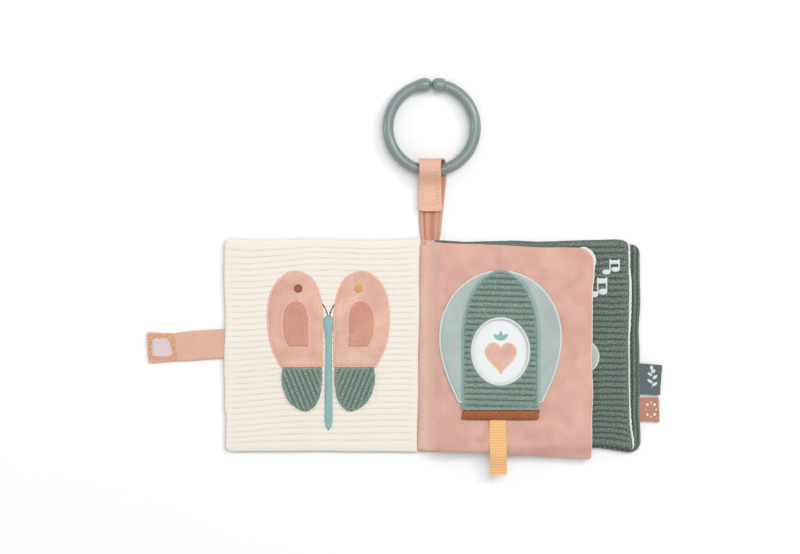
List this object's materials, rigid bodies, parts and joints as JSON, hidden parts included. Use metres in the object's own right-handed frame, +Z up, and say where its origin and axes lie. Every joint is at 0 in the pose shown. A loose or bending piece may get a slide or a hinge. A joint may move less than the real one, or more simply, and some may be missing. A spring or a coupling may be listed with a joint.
{
  "type": "crinkle cloth book",
  "caption": "Soft baby's cloth book lying open, with padded corduroy and velvet pages, lift-up and pull-out pieces, a closure strap and a ring on a hanging strap.",
  "frame": {"origin": "middle of the spine's underside, on the surface that the open book lies on", "axes": "+X to the fore edge of the back cover, +Y to the hanging strap, +Z up out of the open pages"},
  "size_m": [0.392, 0.3029, 0.0159],
  "materials": {
    "cream_corduroy": "matte",
    "green_corduroy": "matte",
    "pale_green_corduroy": "matte",
    "pink_velvet": "matte",
    "rose_panel": "matte",
    "grey_blue_velvet": "matte",
    "white_cotton": "matte",
    "aqua_thread": "satin",
    "rust_thread": "satin",
    "brown_thread": "satin",
    "ochre_thread": "satin",
    "apricot_grosgrain": "satin",
    "peach_cotton": "matte",
    "hook_and_loop": "matte",
    "slate_woven": "matte",
    "rose_woven": "matte",
    "sage_plastic": "gloss",
    "crackle_film": "gloss",
    "wadding": "matte"
  },
  "bodies": {
    "spine": {"spine_outer_cloth": "green_corduroy", "spine_lining": "pink_velvet", "gutter_roll": "peach_cotton"},
    "front_cover": {"front_cover_outer_cloth": "green_corduroy", "front_cover_film": "crackle_film", "front_cover_wadding": "wadding", "cream_page_cloth": "cream_corduroy", "right_upper_wing": "pink_velvet", "right_wing_panel": "rose_panel", "right_wing_spot": "ochre_thread", "left_upper_wing": "pink_velvet", "left_wing_panel": "rose_panel", "left_wing_spot": "brown_thread", "butterfly_body": "aqua_thread"},
    "left_lower_wing": {"left_lower_wing_backing": "cream_corduroy", "left_lower_wing_film": "crackle_film", "left_lower_wing_front": "pale_green_corduroy"},
    "right_lower_wing": {"right_lower_wing_backing": "cream_corduroy", "right_lower_wing_film": "crackle_film", "right_lower_wing_front": "pale_green_corduroy"},
    "closure_strap": {"closure_strap_root": "peach_cotton"},
    "closure_tip": {"closure_strap_tip": "peach_cotton", "closure_hook_patch": "hook_and_loop"},
    "back_cover": {"back_cover_outer_cloth": "green_corduroy", "back_cover_film": "crackle_film", "back_cover_wadding": "wadding", "back_page_cloth": "green_corduroy", "closure_loop_patch": "hook_and_loop"},
    "slate_label": {"slate_label": "slate_woven"},
    "rose_label": {"rose_label": "rose_woven"},
    "green_leaf": {"green_leaf_back_cloth": "white_cotton", "green_leaf_film": "crackle_film", "green_leaf_wadding": "wadding", "notes_page_cloth": "green_corduroy", "round_patch": "grey_blue_velvet", "note_pair_upper": "white_cotton", "note_pair_lower": "white_cotton"},
    "leaf_binding": {"leaf_binding_tape": "pink_velvet"},
    "pink_leaf": {"pink_leaf_back_cloth": "white_cotton", "pink_leaf_film": "crackle_film", "pink_leaf_wadding": "wadding", "pink_page_cloth": "pink_velvet", "right_gore": "grey_blue_velvet", "left_gore": "grey_blue_velvet", "window_panel": "green_corduroy", "basket_bar": "rust_thread"},
    "window_slider": {"window_card": "white_cotton", "pull_ribbon": "apricot_grosgrain"},
    "hanging_strap": {"hanging_strap_band": "peach_cotton", "strap_loop_patch": "hook_and_loop"},
    "hanging_flap": {"hanging_strap_flap": "peach_cotton", "strap_hook_patch": "hook_and_loop"},
    "ring": {"ring": "sage_plastic"}
  },
  "joints": [
    {"name": "front_cover_fold", "type": "hinge", "parent": "spine", "child": "front_cover", "pos_m": [-0.0098, 0, 0.00205], "axis": [0, 1, 0], "range_deg": [0, 90]},
    {"name": "back_cover_fold", "type": "hinge", "parent": "spine", "child": "back_cover", "pos_m": [0.0098, 0, 0.00205], "axis": [0, -1, 0], "range_deg": [0, 90]},
    {"name": "leaf_binding_shift", "type": "slide", "parent": "back_cover", "child": "leaf_binding", "axis": [1, 0, 0], "range_m": [0, 0.016]},
    {"name": "pink_leaf_turn", "type": "hinge", "parent": "leaf_binding", "child": "pink_leaf", "pos_m": [0.00165, 0, 0.0111], "axis": [0, 1, 0], "range_deg": [-179.5, 0]},
    {"name": "green_leaf_turn", "type": "hinge", "parent": "back_cover", "child": "green_leaf", "pos_m": [0.01235, 0, 0.00625], "axis": [0, 1, 0], "range_deg": [-90, 0]},
    {"name": "left_lower_wing_lift", "type": "hinge", "parent": "front_cover", "child": "left_lower_wing", "pos_m": [-0.097, -0.01585, 0.0062], "axis": [-1, 0, 0], "range_deg": [0, 179.5]},
    {"name": "right_lower_wing_lift", "type": "hinge", "parent": "front_cover", "child": "right_lower_wing", "pos_m": [-0.061, -0.01585, 0.0062], "axis": [-1, 0, 0], "range_deg": [0, 179.5]},
    {"name": "card_pull", "type": "slide", "parent": "pink_leaf", "child": "window_slider", "axis": [0, -1, 0], "range_m": [0, 0.02]},
    {"name": "closure_strap_fold", "type": "hinge", "parent": "front_cover", "child": "closure_strap", "pos_m": [-0.15855, 0, 0.0023], "axis": [0, 1, 0], "range_deg": [0, 90]},
    {"name": "closure_tip_fold", "type": "hinge", "parent": "closure_strap", "child": "closure_tip", "pos_m": [-0.18125, 0, 0.0023], "axis": [0, 1, 0], "range_deg": [0, 90]},
    {"name": "slate_label_bend", "type": "hinge", "parent": "back_cover", "child": "slate_label", "pos_m": [0.15877, -0.0256, 0.0026], "axis": [0, -1, 0], "range_deg": [0, 80]},
    {"name": "rose_label_bend", "type": "hinge", "parent": "back_cover", "child": "rose_label", "pos_m": [0.15897, -0.0485, 0.0026], "axis": [0, -1, 0], "range_deg": [0, 80]},
    {"name": "hanging_strap_lift", "type": "hinge", "parent": "spine", "child": "hanging_strap", "pos_m": [-0.0002, 0.0813, 0.0019], "axis": [-1, 0, 0], "range_deg": [-75, 0]},
    {"name": "hanging_flap_open", "type": "hinge", "parent": "hanging_strap", "child": "hanging_flap", "pos_m": [-0.0002, 0.143, 0.0081], "axis": [-1, 0, 0], "range_deg": [0, 150]},
    {"name": "ring_tilt", "type": "hinge", "parent": "hanging_strap", "child": "ring", "pos_m": [-0.0002, 0.1333, 0.0065], "axis": [1, 0, 0], "range_deg": [0, 90]}
  ],
  "couplings": [
    {"joint": "back_cover_fold", "follows": "front_cover_fold", "ratio": 1},
    {"joint": "leaf_binding_shift", "follows": "front_cover_fold", "m_per_rad": 0.01018},
    {"joint": "green_leaf_turn", "follows": "pink_leaf_turn", "ratio": 0.5}
  ]
}
